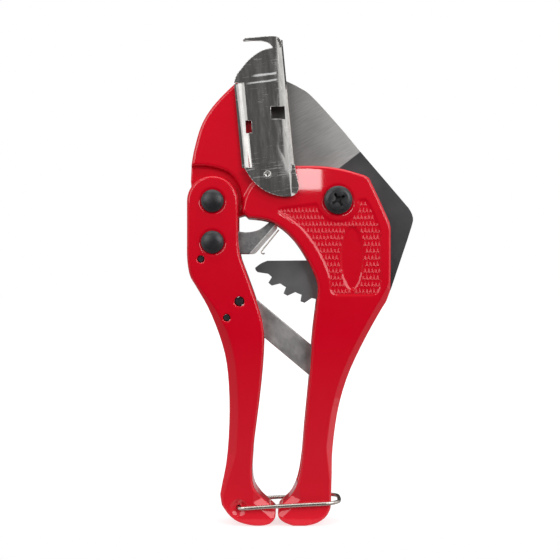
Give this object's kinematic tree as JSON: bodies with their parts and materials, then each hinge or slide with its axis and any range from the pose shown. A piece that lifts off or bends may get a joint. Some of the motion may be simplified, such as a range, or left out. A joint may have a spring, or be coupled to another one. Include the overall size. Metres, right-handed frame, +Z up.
{
  "type": "pvc pipe cutter",
  "caption": "Ratchet pipe cutter: hooked jaw and right handle in one casting, toothed C-shaped blade, forked left handle with drive pawl, sprung pipe guide and wire bail.",
  "frame": {"origin": "bottom centre of the bounding box, on the surface under both handle feet", "axes": "+X across the tool towards the blade's back edge, +Y through the thickness away from the front face, +Z up from the feet to the jaw"},
  "size_m": [0.1188, 0.0246, 0.2544],
  "materials": {
    "red_paint": "glossy red enamel on die-cast metal, softer on the lower grips",
    "blade_steel": "dark hardened tool steel with lighter ground band",
    "bronze": "plain sintered bronze",
    "black_oxide": "black oxide, satin",
    "chrome_plate": "bright plated sheet with small scuffs",
    "zinc_plate": "zinc-plated, slightly mottled",
    "spring_wire": "bright nickel-coloured spring wire"
  },
  "bodies": {
    "body": {"body_casting": "red_paint", "blade_bush": "bronze", "blade_bolt": "black_oxide", "blade_nut": "black_oxide", "blade_return_spring": "spring_wire", "handle_rivet": "black_oxide", "guide_pin": "chrome_plate", "guide_spring": "spring_wire", "check_pawl_pin": "black_oxide", "check_pawl_spring": "spring_wire"},
    "blade": {"blade": "blade_steel"},
    "handle": {"left_handle": "red_paint", "pawl_rivet": "black_oxide", "link_pin": "black_oxide", "link_spring": "spring_wire", "link_spring_pin": "black_oxide", "pawl_stop_pin": "black_oxide"},
    "drive_pawl": {"drive_pawl": "zinc_plate", "pawl_spring": "spring_wire"},
    "check_pawl": {"check_pawl": "zinc_plate"},
    "link": {"link_plate": "zinc_plate", "link_slide_pin": "black_oxide"},
    "guide": {"pipe_guide": "chrome_plate"},
    "bail": {"wire_bail": "spring_wire"}
  },
  "joints": [
    {"name": "blade_hinge", "type": "hinge", "parent": "body", "child": "blade", "pos_m": [0.0195, 0, 0.1698], "axis": [0, 1, 0], "range_deg": [0, 66]},
    {"name": "handle_hinge", "type": "hinge", "parent": "body", "child": "handle", "pos_m": [-0.0459, 0, 0.1693], "axis": [0, 1, 0], "range_deg": [0, 18], "deforming": ["wire_bail"]},
    {"name": "drive_pawl_hinge", "type": "hinge", "parent": "handle", "child": "drive_pawl", "pos_m": [-0.0459, 0, 0.1479], "axis": [0, 1, 0], "range_deg": [0, 20], "stiffness_Nm_per_rad": 0.02, "springref_deg": -34.38},
    {"name": "check_pawl_hinge", "type": "hinge", "parent": "body", "child": "check_pawl", "pos_m": [0.034, 0, 0.1076], "axis": [0, 1, 0], "range_deg": [-8, 0], "stiffness_Nm_per_rad": 0.005, "springref_deg": 22.92, "deforming": ["check_pawl_spring"]},
    {"name": "link_hinge", "type": "hinge", "parent": "handle", "child": "link", "pos_m": [-0.0319, 0, 0.117], "axis": [0, 1, 0], "range_deg": [-43.6, 0]},
    {"name": "guide_hinge", "type": "hinge", "parent": "body", "child": "guide", "pos_m": [-0.0172, 0, 0.1829], "axis": [0, 1, 0], "range_deg": [-8, 0], "stiffness_Nm_per_rad": 0.08, "springref_deg": 28.65},
    {"name": "bail_hinge", "type": "hinge", "parent": "handle", "child": "bail", "pos_m": [-0.0323, 0, 0.0096], "axis": [0, 1, 0], "range_deg": [0, 100]}
  ],
  "couplings": [
    {"joint": "link_hinge", "follows": "handle_hinge", "ratio": -2.42}
  ]
}
